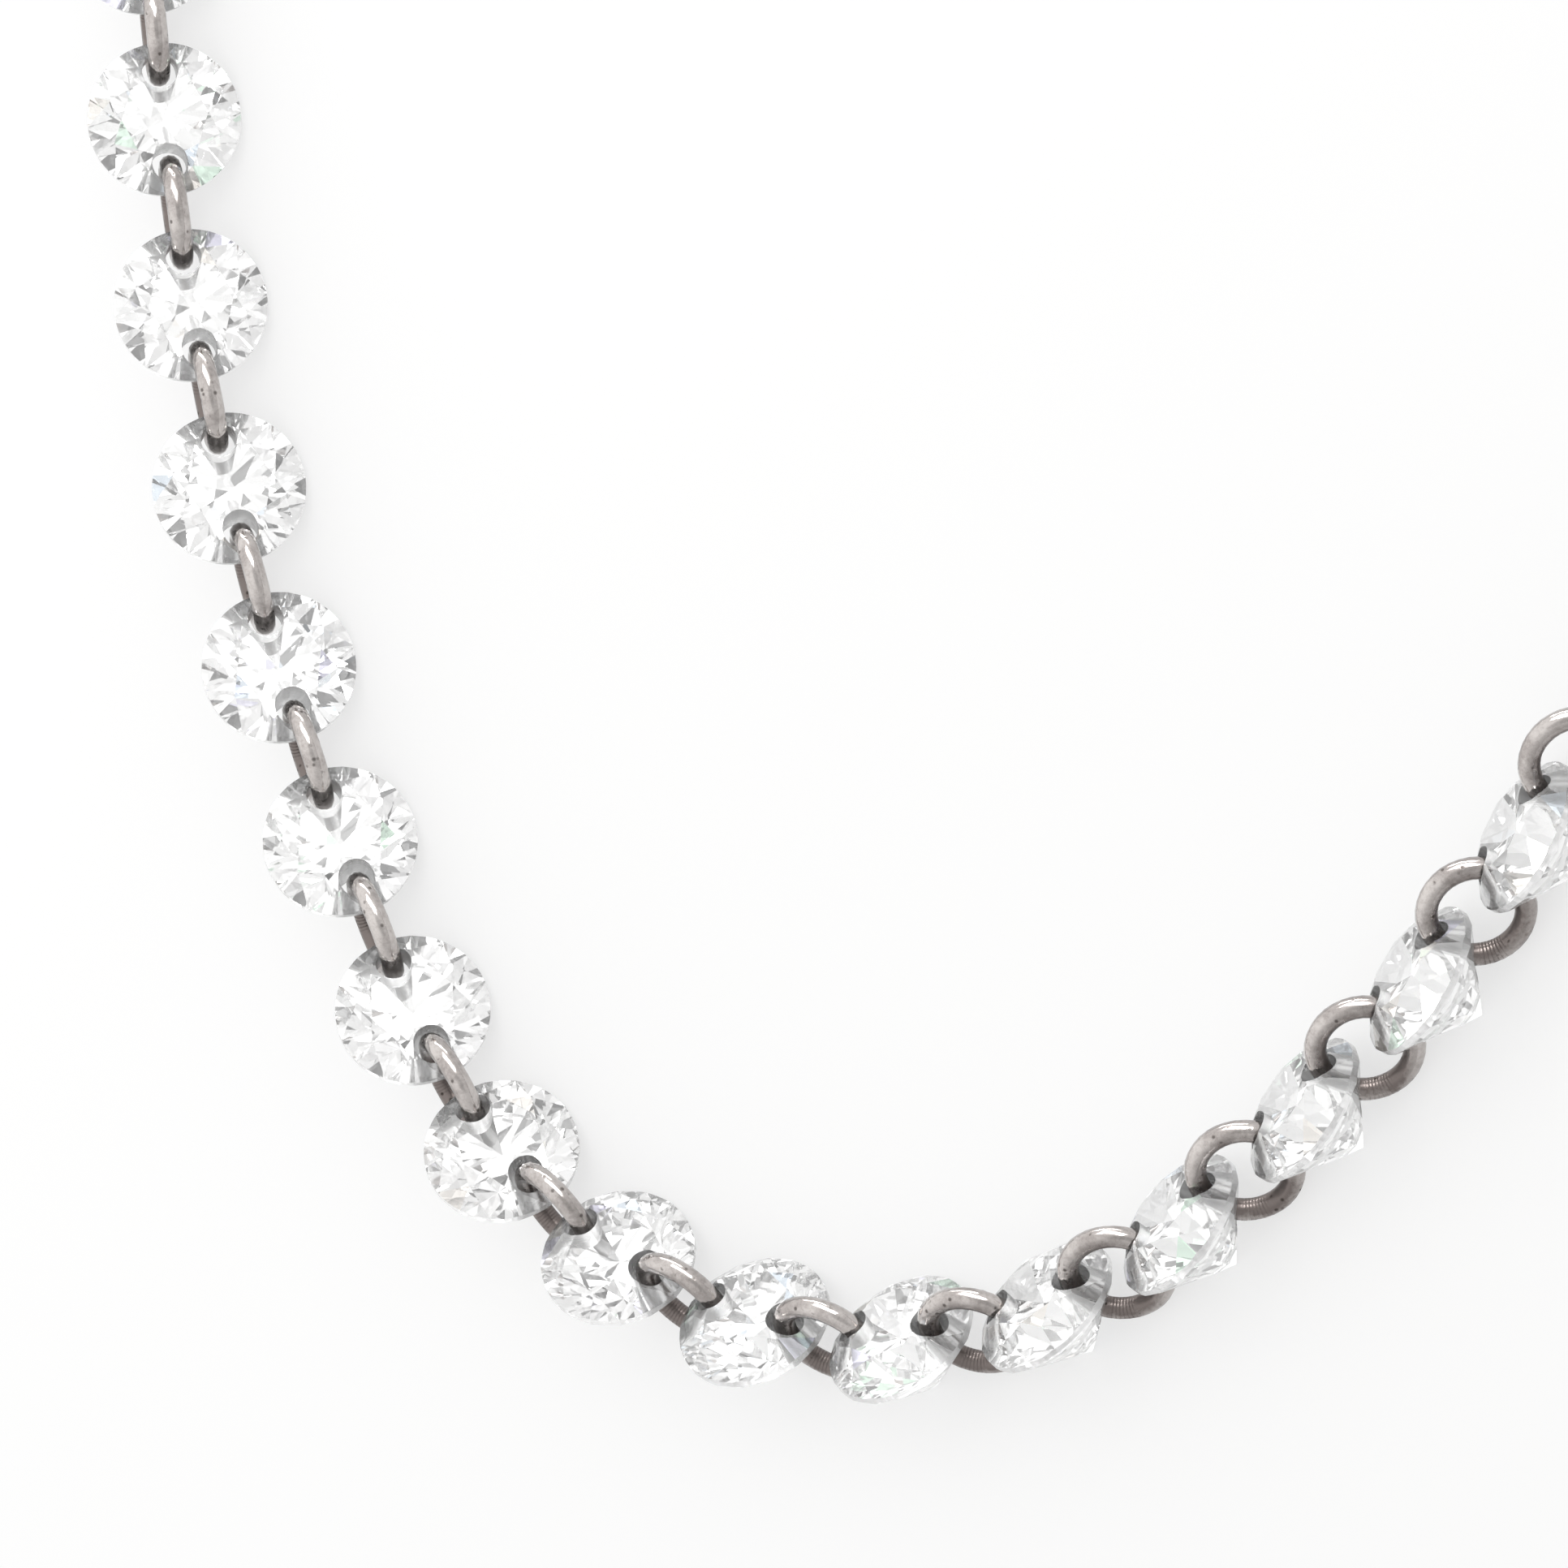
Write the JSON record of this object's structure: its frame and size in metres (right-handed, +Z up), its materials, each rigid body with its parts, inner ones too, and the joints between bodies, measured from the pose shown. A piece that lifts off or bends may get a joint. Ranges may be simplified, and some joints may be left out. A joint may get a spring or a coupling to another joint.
{
  "type": "diamond chain necklace",
  "caption": "Closed neck chain of round brilliants drilled near both ends, each linked to the next by a plain round wire ring, with a small barrel clasp, laid flat as a loop",
  "frame": {"origin": "centre of the loop's plan box, on the surface that the stones lie on", "axes": "+Z up from the surface; +Y along the loop from its narrow front bend to its round back; +X to the right"},
  "size_m": [0.1022, 0.1669, 0.0024],
  "materials": {
    "diamond": "polished facets",
    "white_gold": "worn satin"
  },
  "bodies": {
    "root": {"diamonds": "diamond", "jump_rings": "white_gold", "clasp": "white_gold"}
  },
  "joints": []
}
